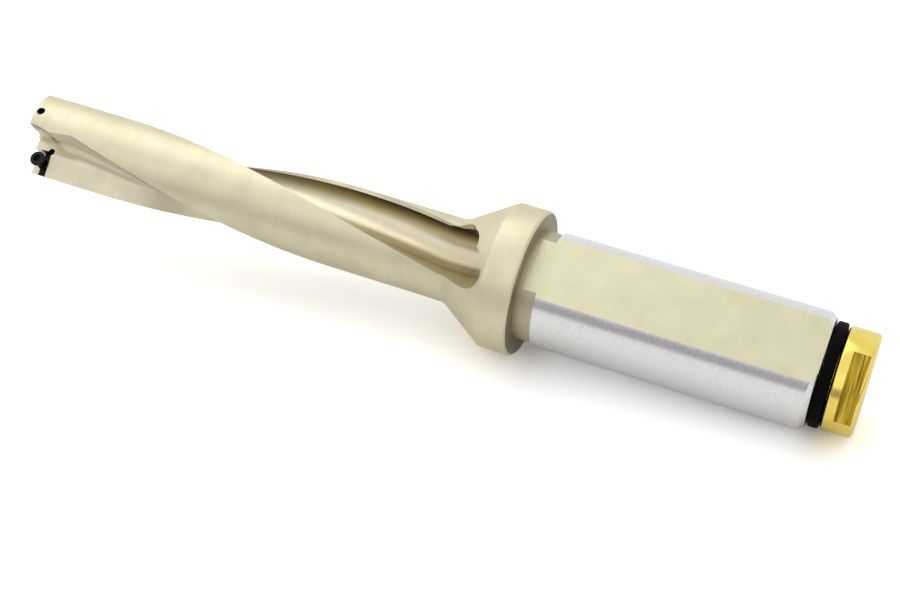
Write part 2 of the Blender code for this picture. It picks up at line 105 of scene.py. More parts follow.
POCKET_TURN = math.radians(-7.0)
POCKET_TILT = math.radians(5.0)
INSERT_THICKNESS = 2.4 * MM
INNER_SETBACK = 0.7 * MM
OUTER_BACK = POINT - 3.4 * MM
CORNER_RELIEF = 1.2 * MM
SEAT_RECESS = 0.02 * MM
SEAT_RECESS_WIDTH = 2.1 * MM
FACE_RELIEF = math.radians(6.0)
FACE_DISH = math.radians(5.0)
CLEARANCE_FLOOR = -0.5 * MM
CLEARANCE_RADIUS = 10.0 * MM
CLEARANCE_STRAIGHT = 1.2 * MM
TAPPED_HOLE = 2.0 * MM
TAPPED_DEPTH = -5.6 * MM
PILOT_HOLE = 1.5 * MM
SCREW_FROM_SIDE = 2.05 * MM
SCREW_FROM_BACK = 1.9 * MM
HOLE_SIDES = 48

REAR_BORE = 9.0 * MM
REAR_BORE_END = 8.7 * MM
REAR_BORE_SIDES = 96
FEED_BORE = 4.0 * MM
FEED_BORE_END = 55.0 * MM
CHANNEL_DIAMETER = 1.5 * MM
CHANNEL_SIDES = 20
CHANNEL_START = 62.0 * MM
CHANNEL_ENTRY_RADIUS = 1.3 * MM

# Each half of the point: its turn, the side and width of its pocket, how far down the pocket goes, the side
# of the room over the insert, the height and dish of its face, and where its coolant channel comes out
Half = namedtuple("Half", "turn edge width back room_edge face dish channel_radius channel_angle")
HALVES = {
    "outer": Half(turn=0.0, edge=2.5 * MM, width=CUT_REACH, back=OUTER_BACK, room_edge=0.8 * MM, face=POINT,
                  dish=0.0, channel_radius=5.1 * MM, channel_angle=math.radians(-71.0)),
    "inner": Half(turn=math.pi, edge=-0.15 * MM, width=5.25 * MM, back=OUTER_BACK - INNER_SETBACK,
                  room_edge=-0.25 * MM, face=POINT - INNER_SETBACK, dish=FACE_DISH,
                  channel_radius=5.84 * MM, channel_angle=math.radians(130.4)),
}

# The tool lies on its collar and the rim of its shank, its flat turned to the front, and the frame's origin
# is on the middle of the flat. The plain model's collar has flat sides and lies on one of them.
FRAME_FACETS = 64
ROLL_FACETS = 4.5
HOLDING_HEIGHT = 24.5 * MM
REST_TILT = math.atan2((COLLAR_RADIUS - SHANK_RADIUS) * math.cos(math.pi / FRAME_FACETS),
                       SHANK_LENGTH + COLLAR_CHAMFER - SHANK_END_CHAMFER)
ROLL = -ROLL_FACETS * FULL_TURN / FRAME_FACETS
HOLDING_POINT = Vector((0.0, FLAT_HEIGHT, HOLDING_HEIGHT))


def lying_tool():
    """Turns the tool's own frame, with Z towards the point and Y out of the flat, to how it lies."""
    axis = Vector((-math.cos(REST_TILT), 0.0, math.sin(REST_TILT)))
    upward = Vector((math.sin(REST_TILT), 0.0, math.cos(REST_TILT)))
    standing = Matrix((upward.cross(axis), upward, axis)).transposed()
    turned_down = standing @ Matrix.Rotation(ROLL, 3, "Z")
    return Matrix.Translation(-(turned_down @ HOLDING_POINT)) @ turned_down.to_4x4()


def close_mesh(bm):
    """Merges the points that meet and turns every face outwards."""
    bmesh.ops.remove_doubles(bm, verts=bm.verts, dist=MERGE_DISTANCE)
    bmesh.ops.recalc_face_normals(bm, faces=bm.faces)
    return bm


def only(kind, items):
    """The points, or the edges, among what an operator gives back."""
    return [item for item in items if isinstance(item, kind)]


def ends_of(edges):
    """The points at the ends of some edges, each of them once."""
    return list(dict.fromkeys(vert for edge in edges for vert in edge.verts))


def turned(profile, sides):
    """Revolves a closed profile of (radius, height) points about Z."""
    bm = bmesh.new()
    verts = [bm.verts.new((radius, 0.0, height)) for radius, height in profile]
    edges = [bm.edges.new(pair) for pair in zip(verts, verts[1:] + verts[:1])
             if pair[0].co.x > 0 or pair[1].co.x > 0]
    bmesh.ops.spin(bm, geom=verts + edges, cent=(0, 0, 0), axis=(0, 0, 1), angle=FULL_TURN, steps=sides,
                   use_merge=True)
    return close_mesh(bm)


def rounded(corners, radius, steps=3):
    """Rounds the sharp corners of a (radius, height) profile that are marked with True."""
    points = []
    for index, (x, z, soft) in enumerate(corners):
        here = Vector((x, z))
        if not soft:
            points.append((x, z))
            continue
        before = Vector(corners[index - 1][:2])
        after = Vector(corners[(index + 1) % len(corners)][:2])
        start = here + (before - here).normalized() * radius
        end = here + (after - here).normalized() * radius
        for step in range(steps + 1):
            part = step / steps
            point = start * (1 - part) ** 2 + here * 2 * part * (1 - part) + end * part ** 2
            points.append((point.x, point.y))
    return points


def box(low, high):
    """A block between its lowest and its highest corner."""
    low = Vector(low)
    high = Vector(high)
    bm = bmesh.new()
    bmesh.ops.create_cube(bm, size=1.0)
    bmesh.ops.scale(bm, verts=bm.verts, vec=high - low)
    bmesh.ops.translate(bm, verts=bm.verts, vec=(low + high) / 2)
    return bm


def rod(diameter, start, end, sides=HOLE_SIDES):
    """A round bar between two points."""
    start = Vector(start)
    end = Vector(end)
    way = end - start
    bm = bmesh.new()
    bmesh.ops.create_cone(bm, cap_ends=True, segments=sides, radius1=diameter / 2, radius2=diameter / 2,
                          depth=way.length)
    bmesh.ops.rotate(bm, verts=bm.verts, cent=(0, 0, 0), matrix=way.to_track_quat("Z", "Y").to_matrix())
    bmesh.ops.translate(bm, verts=bm.verts, vec=(start + end) / 2)
    return bm


def prism(outline, depth):
    """A flat outline of points, extruded along a vector."""
    bm = bmesh.new()
    face = bm.faces.new([bm.verts.new(point) for point in outline])
    side = bmesh.ops.extrude_face_region(bm, geom=[face])
    bmesh.ops.translate(bm, verts=only(bmesh.types.BMVert, side["geom"]), vec=depth)
    return close_mesh(bm)


def turn_about_axis(bm, angle):
    """Turns a shape about the tool's axis."""
    bmesh.ops.rotate(bm, verts=bm.verts, cent=(0, 0, 0), matrix=Matrix.Rotation(angle, 3, "Z"))
    return bm


def swept_bar(outline, bottom, front_turn=0.0, helix_turn=HELIX_TURN):
    """Sweeps an outline from above the point down the helix, then straight on to its lower end."""
    bm = bmesh.new()
    cap = bm.faces.new([bm.verts.new((x, y, POINT + OVERCUT)) for x, y in outline])
    ring = cap.edges[:]
    # The steps, the turn and the way down of each stretch
    stretches = [
        (1, 0.0, -OVERCUT),
        (STEPS_ABOVE_TWIST, front_turn, TWIST_START - POINT),
        (math.ceil(helix_turn / TWIST_STEP), -helix_turn, TWIST_END - TWIST_START),
        (STEPS_BELOW_TWIST, 0.0, bottom - TWIST_END),
    ]
    for steps, turn, drop in stretches:
        spun = bmesh.ops.spin(bm, geom=ends_of(ring) + ring, cent=(0, 0, 0), axis=(0, 0, 1), angle=turn,
                              steps=steps, dvec=(0, 0, drop / steps))
        ring = only(bmesh.types.BMEdge, spun["geom_last"])
    return bm, ring


def cap_open_ends(bm):
    """Closes what is still open on a cutter."""
    bmesh.ops.remove_doubles(bm, verts=bm.verts, dist=MERGE_DISTANCE)
    bmesh.ops.holes_fill(bm, edges=[edge for edge in bm.edges if edge.is_boundary], sides=0)
    return close_mesh(bm)


def mill_outline(mill):
    """The section that the ball mill leaves: a half round, and straight walls out past the body."""
    arc = []
    for step in range(MILL_STEPS + 1):
        angle = -math.pi / 2 - math.pi * step / MILL_STEPS
        arc.append((mill.x + MILL_RADIUS * math.cos(angle), mill.y + MILL_RADIUS * math.sin(angle)))
    near = [(CUT_REACH, arc[0][1])]
    far = [(CUT_REACH, arc[-1][1])]
    for wall_point in (OUTER_WALL_POINT, INNER_WALL_POINT):
        if mill.x < wall_point:
            near.append((wall_point, arc[0][1]))
            far.insert(0, (wall_point, arc[-1][1]))
    return near + arc + far


def round_end(bm, ring, centre, turn, angle):
    """The half ball that the mill leaves at the end of a pass, about its own axis."""
    across = turn @ Vector((0.0, 1.0, 0.0))
    far_half = [edge for edge in ring if all((vert.co - centre).dot(across) > -SLACK for vert in edge.verts)]
    bmesh.ops.spin(bm, geom=ends_of(far_half) + far_half, cent=centre,
                   axis=turn @ Vector((1.0, 0.0, 0.0)), angle=angle, steps=MILL_STEPS)


def milled_pass(floor, offset, bottom, front_turn=0.0, helix_turn=HELIX_TURN):
    """One pass of the ball mill, whose axis points along X, and its round end where the mill lifts out."""
    mill = Vector((floor + MILL_RADIUS, offset, 0.0))
    bm, ring = swept_bar(mill_outline(mill), bottom, front_turn, helix_turn)
    turn = Matrix.Rotation(front_turn - helix_turn, 3, "Z")
    round_end(bm, ring, turn @ mill + Vector((0.0, 0.0, bottom)), turn, -math.pi)
    return cap_open_ends(bm)


def flute_cutter():
    """The channel, whose near wall is the rake wall."""
    return milled_pass(FLUTE_FLOOR, MILL_RADIUS - RAKE_WALL_OFFSET, FLUTE_END)


def heel_cutter():
    """The shallow second pass, which opens the heel and swings away from the channel towards the point."""
    front_turn = HEEL_TURN_AT_HELIX - HEEL_TURN_AT_POINT
    helix_turn = HELIX_TURN + HEEL_TURN_AT_HELIX - HEEL_TURN_AT_END
    return turn_about_axis(milled_pass(HEEL_FLOOR, 0.0, HEEL_END, front_turn, helix_turn), HEEL_TURN_AT_POINT)


def side_cutter():
    """The short straight cut that widens the lower end of the channel, round at both of its ends."""
    mill = Vector((SIDE_CUT_FLOOR + MILL_RADIUS, SIDE_CUT_OFFSET, SIDE_CUT_END + SIDE_CUT_LENGTH))
    down = Vector((0.0, 0.0, -SIDE_CUT_LENGTH))
    bm = bmesh.new()
    verts = [bm.verts.new((x, y, mill.z)) for x, y in mill_outline(mill)]
    upper = [bm.edges.new(pair) for pair in zip(verts, verts[1:] + verts[:1])]
    spun = bmesh.ops.spin(bm, geom=verts + upper, cent=(0, 0, 0), axis=(0, 0, 1), angle=0.0, steps=1,
                          dvec=down)
    lower = only(bmesh.types.BMEdge, spun["geom_last"])
    round_end(bm, upper, mill, Matrix.Identity(3), math.pi)
    round_end(bm, lower, mill + down, Matrix.Identity(3), -math.pi)
    return turn_about_axis(cap_open_ends(bm), SIDE_CUT_TURN - HELIX_TURN)


def channel_cutter(radius, angle):
    """A coolant channel: a slanted feed out of the bore, then a hole that follows the helix to the face."""
    centre = Vector((radius * math.cos(angle), radius * math.sin(angle)))
    outline = []
    for side in range(CHANNEL_SIDES):
        around = FULL_TURN * side / CHANNEL_SIDES
        outline.append(centre + Vector((math.cos(around), math.sin(around))) * CHANNEL_DIAMETER / 2)
    bm, ring = swept_bar(outline, CHANNEL_START)
    feed = bmesh.ops.extrude_edge_only(bm, edges=ring)
    inward = Vector((math.cos(angle - HELIX_TURN), math.sin(angle - HELIX_TURN), 0.0))
    shift = inward * (CHANNEL_ENTRY_RADIUS - radius)
    shift.z = FEED_BORE_END - OVERCUT - CHANNEL_START
    bmesh.ops.translate(bm, verts=only(bmesh.types.BMVert, feed["geom"]), vec=shift)
    return cap_open_ends(bm)


def place_in_pocket(bm, half):
    """Moves a shape from the corner of a pocket to its place on the tool."""
    bmesh.ops.rotate(bm, verts=bm.verts, cent=(0, 0, 0), matrix=Matrix.Rotation(POCKET_TILT, 3, "Y"))
    bmesh.ops.translate(bm, verts=bm.verts, vec=(half.edge, 0.0, half.back))
    return turn_about_axis(bm, POCKET_TURN + half.turn)


def clearance_cutter(half):
    """The room that the mill leaves over an insert, with the large round end of its path."""
    turn_point = half.back + CLEARANCE_STRAIGHT
    outline = [
        (CUT_REACH, CLEARANCE_FLOOR, POINT + OVERCUT),
        (half.room_edge, CLEARANCE_FLOOR, POINT + OVERCUT),
    ]
    for step in range(MILL_STEPS + 1):
        angle = math.pi / 2 * step / MILL_STEPS
        outline.append((half.room_edge + CLEARANCE_RADIUS * (1 - math.cos(angle)), CLEARANCE_FLOOR,
                        turn_point - CLEARANCE_RADIUS * math.sin(angle)))
    outline.append((CUT_REACH, CLEARANCE_FLOOR, turn_point - CLEARANCE_RADIUS))
    return turn_about_axis(prism(outline, (0.0, COLLAR_RADIUS, 0.0)), POCKET_TURN + half.turn)


def screw_hole(diameter, depth):
    """A hole in the seat, where the insert's screw stands."""
    return rod(diameter, (SCREW_FROM_SIDE, OVERCUT, SCREW_FROM_BACK),
               (SCREW_FROM_SIDE, depth, SCREW_FROM_BACK))


def face_cutter(half):
    """What comes off the point, to leave the face of one half sloping back from its cutting edge."""
    wedge = box((-CUT_REACH, -CUT_REACH, 0.0), (CUT_REACH, 0.0, CUT_REACH))
    slope = Matrix.Rotation(FACE_RELIEF, 3, "X") @ Matrix.Rotation(-half.dish, 3, "Y")
    bmesh.ops.rotate(wedge, verts=wedge.verts, cent=(0, 0, 0), matrix=slope)
    bmesh.ops.translate(wedge, verts=wedge.verts, vec=(0.0, 0.0, half.face))
    return turn_about_axis(wedge, POCKET_TURN + half.turn)


def finish_slot(thing, material):
    """The number of a material on a piece, which is added to it where it isn't there yet."""
    names = [slot.name for slot in thing.data.materials]
    if material.name not in names:
        thing.data.materials.append(material)
        names.append(material.name)
    return names.index(material.name)


def cut(target, bm, material):
    """Takes a cutter out of a piece at once, and leaves the material on the faces that it cuts."""
    number = finish_slot(target, material)
    for face in bm.faces:
        face.material_index = number
    mesh = bpy.data.meshes.new("cutter")
    bm.to_mesh(mesh)
    bm.free()
    for own in target.data.materials:
        mesh.materials.append(own)
    cutter = bpy.data.objects.new("cutter", mesh)
    bpy.context.scene.collection.objects.link(cutter)
    modifier = target.modifiers.new("cut", "BOOLEAN")
    modifier.operation = "DIFFERENCE"
    modifier.object = cutter
    modifier.solver = "EXACT"
    bpy.context.view_layer.update()
    depsgraph = bpy.context.evaluated_depsgraph_get()
    result = bpy.data.meshes.new_from_object(target.evaluated_get(depsgraph))
    target.modifiers.clear()
    old = target.data
    target.data = result
    result.name = old.name
    bpy.data.meshes.remove(old)
    bpy.data.objects.remove(cutter)
    bpy.data.meshes.remove(mesh)


def new_piece(name, bm, material):
    """Puts a finished shape into the scene, all of it in one material."""
    mesh = bpy.data.meshes.new(name)
    bm.to_mesh(mesh)
    bm.free()
    mesh.materials.append(material)
    piece = bpy.data.objects.new(name, mesh)
    bpy.context.scene.collection.objects.link(piece)
    return piece


def lay_down(piece, sharp_angle):
    """Welds a finished mesh, moves it from the tool's frame to where the tool lies, and shades it."""
    bm = bmesh.new()
    bm.from_mesh(piece.data)
    bmesh.ops.remove_doubles(bm, verts=bm.verts, dist=WELD_DISTANCE)
    bmesh.ops.transform(bm, matrix=lying_tool(), verts=bm.verts)
    bm.to_mesh(piece.data)
    bm.free()
    piece.data.shade_smooth()
    piece.data.set_sharp_from_angle(angle=sharp_angle)


# Most of a noise pattern lies between the low and the high value
NOISE_LOW = 0.3
NOISE_HIGH = 0.7
NOISE_ROUGHNESS = 0.6


def shader_of(material):
    return material.node_tree.nodes["Principled BSDF"]


def finish(name, colour, roughness, metallic=1.0, specular=0.5):
    """A plain finish, metal where nothing else is said."""
    material = bpy.data.materials.new(name)
    material.use_nodes = True
    inputs = shader_of(material).inputs
    inputs["Base Color"].default_value = (*colour, 1.0)
    inputs["Metallic"].default_value = metallic
    inputs["Roughness"].default_value = roughness
    inputs["Specular IOR Level"].default_value = specular
    return material


def tool_coordinates(tree, stretch):
    """Object coordinates turned to the lying tool, X along its axis, and stretched for a pattern."""
    place = tree.nodes.new("ShaderNodeTexCoord")
    turn = tree.nodes.new("ShaderNodeMapping")
    turn.inputs["Rotation"].default_value = (0.0, -REST_TILT, 0.0)
    tree.links.new(place.outputs["Object"], turn.inputs["Vector"])
    scale = tree.nodes.new("ShaderNodeMapping")
    scale.inputs["Scale"].default_value = stretch
    tree.links.new(turn.outputs["Vector"], scale.inputs["Vector"])
    return scale.outputs["Vector"]


def grain(tree, stretch, scale, detail=4.0):
    """A noise pattern that runs with the tool."""
    noise = tree.nodes.new("ShaderNodeTexNoise")
    noise.inputs["Scale"].default_value = scale
    noise.inputs["Detail"].default_value = detail
    noise.inputs["Roughness"].default_value = NOISE_ROUGHNESS
    tree.links.new(tool_coordinates(tree, stretch), noise.inputs["Vector"])
    return noise.outputs["Fac"]


def remap(tree, value, start, end, low=0.0, high=1.0, curve="LINEAR"):
    """Maps the values between start and end to those between low and high."""
    node = tree.nodes.new("ShaderNodeMapRange")
    node.interpolation_type = curve
    node.inputs["From Min"].default_value = start
    node.inputs["From Max"].default_value = end
    node.inputs["To Min"].default_value = low
    node.inputs["To Max"].default_value = high
    tree.links.new(value, node.inputs["Value"])
    return node.outputs["Result"]


def colour_ramp(tree, value, stops):
    """Turns a value into a colour, by a list of levels and the colour at each."""
    ramp = tree.nodes.new("ShaderNodeValToRGB")
    points = ramp.color_ramp.elements
    while len(points) < len(stops):
        points.new(0.5)
    for point, (level, colour) in zip(points, stops):
        point.position = level
        point.color = (*colour, 1.0)
    tree.links.new(value, ramp.inputs["Fac"])
    return ramp.outputs["Color"]


def tint(tree, factor, dark, light):
    """Mixes two colours. Each is a plain colour or what another node gives."""
    mix = tree.nodes.new("ShaderNodeMix")
    mix.data_type = "RGBA"
    for side, colour in (("A", dark), ("B", light)):
        if isinstance(colour, tuple):
            mix.inputs[side].default_value = (*colour, 1.0)
        else:
            tree.links.new(colour, mix.inputs[side])
    tree.links.new(factor, mix.inputs["Factor"])
    return mix.outputs["Result"]


def mottle(material, stretch, scale, dark, light):
    """Lets a finish vary between two colours."""
    tree = material.node_tree
    pattern = remap(tree, grain(tree, stretch, scale), NOISE_LOW, NOISE_HIGH)
    tree.links.new(tint(tree, pattern, dark, light), shader_of(material).inputs["Base Color"])


def vary_roughness(material, stretch, scale, low, high):
    """Lets a finish vary between a smoother and a rougher one."""
    tree = material.node_tree
    pattern = remap(tree, grain(tree, stretch, scale), NOISE_LOW, NOISE_HIGH, low, high)
    tree.links.new(pattern, shader_of(material).inputs["Roughness"])


def raise_grain(material, stretch, scale, height, detail=4.0, strength=1.0):
    """Gives a finish a fine grain that stands up from the surface, on top of any that it has."""
    tree = material.node_tree
    normal = shader_of(material).inputs["Normal"]
    bump = tree.nodes.new("ShaderNodeBump")
    bump.inputs["Strength"].default_value = strength
    bump.inputs["Distance"].default_value = height
    tree.links.new(grain(tree, stretch, scale, detail), bump.inputs["Height"])
    if normal.is_linked:
        tree.links.new(normal.links[0].from_socket, bump.inputs["Normal"])
    tree.links.new(bump.outputs["Normal"], normal)


def paint_shade_by(material, name, stops):
    """Paints shade onto a finish: multiplies its colour by the tone that a value stored on the mesh asks for.
    """
    tree = material.node_tree
    colour = shader_of(material).inputs["Base Color"]
    stored = tree.nodes.new("ShaderNodeAttribute")
    stored.attribute_name = name
    mix = tree.nodes.new("ShaderNodeMix")
    mix.data_type = "RGBA"
    mix.blend_type = "MULTIPLY"
    mix.inputs["Factor"].default_value = 1.0
    tree.links.new(colour.links[0].from_socket, mix.inputs["A"])
    tree.links.new(colour_ramp(tree, stored.outputs["Fac"], stops), mix.inputs["B"])
    tree.links.new(mix.outputs["Result"], colour)


# The scales of a pattern along the tool's axis and in the two directions across it. A small one draws the
# pattern out into lines
EVEN = (1.0, 1.0, 1.0)
TURNING_LINES = (1.0, 0.04, 0.04)
MILLING_LINES = (0.12, 1.0, 1.0)
FLAT_LINES = (0.05, 1.0, 1.0)

# The plating's patterns in cells a metre, the height of its lines, and how far its roughness varies
CLOUDS = 180.0
SHEEN = 900.0
FINE_LINES = 2600.0
SPECKLE = 5200.0
LINE_HEIGHT = 0.004 * MM
LINE_STRENGTH = 0.5
SMOOTHER = 0.05
ROUGHER = 0.07


def nickel(name, light, dark, roughness, lines, speckle):
    """Satin nickel plating over turned or milled steel: cloudy tone, fine lines and a little speckle."""
    material = finish(name, light, roughness)
    mottle(material, EVEN, CLOUDS, dark, light)
    vary_roughness(material, lines, SHEEN, roughness - SMOOTHER, roughness + ROUGHER)
    raise_grain(material, lines, FINE_LINES, LINE_HEIGHT, strength=LINE_STRENGTH)
    raise_grain(material, EVEN, SPECKLE, height=speckle, detail=2.0)
    return material


turned_nickel = nickel("turned_nickel", light=(0.79, 0.735, 0.54), dark=(0.71, 0.65, 0.46), roughness=0.48,
                       lines=TURNING_LINES, speckle=0.009 * MM)
milled_nickel = nickel("milled_nickel", light=(0.76, 0.71, 0.54), dark=(0.68, 0.62, 0.45), roughness=0.36,
                       lines=MILLING_LINES, speckle=0.004 * MM)
# Painted shade: a darker copy of the nickel, for the heels, the neck and the shank's end, which lie in shade
shaded_nickel = nickel("shaded_nickel", light=(0.58, 0.53, 0.39), dark=(0.50, 0.45, 0.32), roughness=0.42,
                     lines=MILLING_LINES, speckle=0.004 * MM)
flat_nickel = nickel("flat_nickel", light=(0.73, 0.70, 0.495), dark=(0.66, 0.63, 0.43), roughness=0.36,
                     lines=FLAT_LINES, speckle=0.003 * MM)
# Painted shadow: a much darker copy of the nickel, for the collar's back face, which lies in its own shadow
shadowed_nickel = nickel("shadowed_nickel", light=(0.40, 0.35, 0.25), dark=(0.32, 0.28, 0.19), roughness=0.5,
                     lines=TURNING_LINES, speckle=0.006 * MM)
# Painted shadow: near-black, for the back of each seat, where the pocket lies in shade
seat_shadow = nickel("seat_shadow", light=(0.04, 0.035, 0.03), dark=(0.015, 0.013, 0.01), roughness=0.5,
                     lines=EVEN, speckle=0.004 * MM)

# Painted shade across a flute, from the rake wall at 0 to the wall under the heel at 1, nearly black under
# the heel
paint_shade_by(milled_nickel, "across_flute", [
    (0.0, (0.88, 0.84, 0.67)),
    (0.22, (0.97, 0.94, 0.84)),
    (0.40, (1.0, 1.0, 1.0)),
    (0.56, (1.0, 1.0, 1.0)),
    (0.74, (0.38, 0.35, 0.28)),
    (0.90, (0.05, 0.04, 0.025)),
])

ground_steel = finish("ground_steel", (0.84, 0.84, 0.83), roughness=0.2)
mottle(ground_steel, stretch=(1.0, 0.5, 0.5), scale=5000.0, dark=(0.74, 0.74, 0.73),
       light=(0.92, 0.92, 0.91))
vary_roughness(ground_steel, stretch=(1.0, 0.2, 0.2), scale=2600.0, low=0.17, high=0.26)
raise_grain(ground_steel, stretch=(1.0, 0.35, 0.35), scale=4200.0, height=0.0012 * MM, detail=2.0)

# Painted shade: the holes, bores and coolant channels are near black, as dark as the shade inside them
hole_shadow = finish("hole_shadow", (0.05, 0.045, 0.035), roughness=0.45)
raise_grain(hole_shadow, EVEN, scale=2500.0, height=0.006 * MM)

cone_top = COLLAR_FRONT + (COLLAR_RADIUS - BODY_RADIUS) / math.tan(CONE_HALF_ANGLE)
fillet_reach = BODY_FILLET * math.tan(CONE_HALF_ANGLE / 2)
fillet = []
for step in range(FILLET_STEPS + 1):
    turn = CONE_HALF_ANGLE * step / FILLET_STEPS
    fillet.append((BODY_RADIUS + BODY_FILLET * (1 - math.cos(turn)),
                   cone_top + fillet_reach - BODY_FILLET * math.sin(turn), False))
rings = [(BODY_RADIUS, POINT - RING_SPACING * step, False) for step in range(1, RING_COUNT + 1)]
body_profile = rounded([(0.0, POINT, False), (BODY_RADIUS, POINT, False)] + rings + fillet + [
    (COLLAR_RADIUS, COLLAR_FRONT, True),
    (COLLAR_RADIUS, SHANK_LENGTH + COLLAR_CHAMFER, True),
    (COLLAR_RADIUS - COLLAR_CHAMFER, SHANK_LENGTH, True),
    (NECK_RADIUS, SHANK_LENGTH, False),
    (NECK_RADIUS, NECK_START, False),
    (SHANK_RADIUS, NECK_START, True),
    (SHANK_RADIUS, SHANK_END_CHAMFER, True),
    (SHANK_RADIUS - SHANK_END_CHAMFER, 0.0, True),
    (0.0, 0.0, False),
], EDGE_ROUND)
drill_body = new_piece("nickel_plated_body", turned(body_profile, BODY_SIDES), turned_nickel)

# The shank is ground. The collar's back is painted in shadow, and the neck and the shank's end get the
# painted shade of the heels
for face in drill_body.data.polygons:
    middle = face.center
    if middle.z < NECK_START and math.hypot(middle.x, middle.y) > NECK_RADIUS:
        face.material_index = finish_slot(drill_body, ground_steel)
    elif abs(middle.z - SHANK_LENGTH) < SLACK:
        face.material_index = finish_slot(drill_body, shadowed_nickel)
    elif middle.z < SHANK_LENGTH:
        face.material_index = finish_slot(drill_body, shaded_nickel)

cut(drill_body, box((-CUT_REACH, FLAT_HEIGHT, -OVERCUT), (CUT_REACH, CUT_REACH, FLAT_END)), flat_nickel)

for half in HALVES.values():
    flute_turn = FLUTE_TURN + half.turn
    cut(drill_body, turn_about_axis(flute_cutter(), flute_turn), milled_nickel)
    cut(drill_body, turn_about_axis(heel_cutter(), flute_turn), shaded_nickel)
    cut(drill_body, turn_about_axis(side_cutter(), flute_turn), milled_nickel)

# The recess at the back of each pocket is only deep enough to carry a near-black painted shadow of its own
for half in HALVES.values():
    pocket = box((0.0, -INSERT_THICKNESS, 0.0), (half.width, OVERCUT, POINT - half.back + OVERCUT))
    recess = box((-SEAT_RECESS, -INSERT_THICKNESS - SEAT_RECESS, -SEAT_RECESS),
                 (half.width, OVERCUT, SEAT_RECESS_WIDTH))
    relief = rod(CORNER_RELIEF, (0, -INSERT_THICKNESS, 0), (0, OVERCUT, 0))
    tapped_hole = screw_hole(TAPPED_HOLE, TAPPED_DEPTH)
    pilot_hole = screw_hole(PILOT_HOLE, -CUT_REACH)
    cut(drill_body, clearance_cutter(half), milled_nickel)
    cut(drill_body, place_in_pocket(pocket, half), milled_nickel)
    cut(drill_body, place_in_pocket(recess, half), seat_shadow)
    for hole in (relief, tapped_hole, pilot_hole):
        cut(drill_body, place_in_pocket(hole, half), hole_shadow)
    cut(drill_body, channel_cutter(half.channel_radius, half.channel_angle), hole_shadow)

for half in HALVES.values():
    cut(drill_body, face_cutter(half), milled_nickel)

cut(drill_body, rod(REAR_BORE, (0, 0, -OVERCUT), (0, 0, REAR_BORE_END), REAR_BORE_SIDES), hole_shadow)
cut(drill_body, rod(FEED_BORE, (0, 0, REAR_BORE_END - OVERCUT), (0, 0, FEED_BORE_END)), hole_shadow)

# How far each point lies across its flute, which sets the painted shade there. The painted shade fades out
# towards the point, where the walls lie open, but only in part under the heel
HEEL_SHADE_AT_POINT = 0.6
across_flute = drill_body.data.attributes.new("across_flute", "FLOAT", "POINT")
for vert, value in zip(drill_body.data.vertices, across_flute.data):
    along = min(max((TWIST_START - vert.co.z) / (TWIST_START - TWIST_END), 0.0), 1.0)
    section = Matrix.Rotation(along * HELIX_TURN - FLUTE_TURN, 3, "Z") @ vert.co
    side = math.copysign(section.y, section.x * section.y)
    across = min(max((side + RAKE_WALL_OFFSET) / (2 * MILL_RADIUS), 0.0), 1.0) - 0.5
    fade = along if across < 0 else HEEL_SHADE_AT_POINT + (1 - HEEL_SHADE_AT_POINT) * along
    value.value = 0.5 + across * fade

lay_down(drill_body, BODY_SHARP_ANGLE)
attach(drill_body, "root")
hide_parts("drill_body")

# Insert screws
# Two small countersunk screws with a six-lobed socket, one in the floor of each insert seat. They are black
# oxide steel with a trace of oil, and wait in their threaded holes for the inserts.
SCREW_CORE = 0.75 * MM
SCREW_HEAD = 1.4 * MM
SCREW_FACE = 0.35 * MM
SCREW_LENGTH = 5.6 * MM
SCREW_RIM = 0.35 * MM
SCREW_CHAMFER = SCREW_RIM / 3
SCREW_CONE = 0.6 * MM
SCREW_ROUND = 0.08 * MM
SCREW_SIDES = 64
SCREW_SHARP_ANGLE = math.radians(30.0)
SOCKET_RADIUS = 0.8 * MM
SOCKET_DEPTH = 0.65 * MM
SOCKET_LOBES = 6
SOCKET_LOBE_DEPTH = 0.16 * MM
SOCKET_STEPS = 72

black_oxide = finish("black_oxide", (0.018, 0.018, 0.02), roughness=0.3, metallic=0.6, specular=0.3)
vary_roughness(black_oxide, EVEN, scale=2500.0, low=0.22, high=0.42)
raise_grain(black_oxide, EVEN, scale=6000.0, height=0.004 * MM)


def socket_cutter():
    """The six-lobed socket of a screw."""
    outline = []
    for step in range(SOCKET_STEPS):
        around = FULL_TURN * step / SOCKET_STEPS
        radius = SOCKET_RADIUS - SOCKET_LOBE_DEPTH * (0.5 - 0.5 * math.cos(SOCKET_LOBES * around))
        outline.append((radius * math.cos(around), radius * math.sin(around), -SOCKET_DEPTH))
    return prism(outline, (0.0, 0.0, SOCKET_DEPTH + SCREW_RIM))


def screw_place(half):
    """Where a screw stands: upright on the seat of its pocket, with its own Z out of the seat."""
    return (Matrix.Rotation(POCKET_TURN + half.turn, 4, "Z")
            @ Matrix.Translation((half.edge, 0.0, half.back))
            @ Matrix.Rotation(POCKET_TILT, 4, "Y")
            @ Matrix.Translation((SCREW_FROM_SIDE, SCREW_FACE, SCREW_FROM_BACK))
            @ Matrix.Rotation(-math.pi / 2, 4, "X"))


screw_profile = rounded([
    (0.0, 0.0, False),
    (SCREW_HEAD - SCREW_CHAMFER, 0.0, False),
    (SCREW_HEAD, -SCREW_CHAMFER, True),
    (SCREW_HEAD, -SCREW_RIM, True),
    (SCREW_CORE, -SCREW_RIM - SCREW_CONE, False),
    (SCREW_CORE, SCREW_CORE - SCREW_LENGTH, False),
    (SCREW_CORE / 2, -SCREW_LENGTH, False),
    (0.0, -SCREW_LENGTH, False),
], SCREW_ROUND)
for name, half in HALVES.items():
    screw = new_piece(name + "_black_screw", turned(screw_profile, SCREW_SIDES), black_oxide)
    cut(screw, socket_cutter(), black_oxide)
    screw.data.transform(screw_place(half))
    lay_down(screw, SCREW_SHARP_ANGLE)
    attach(screw, "root")
    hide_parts(name + "_insert_screw")

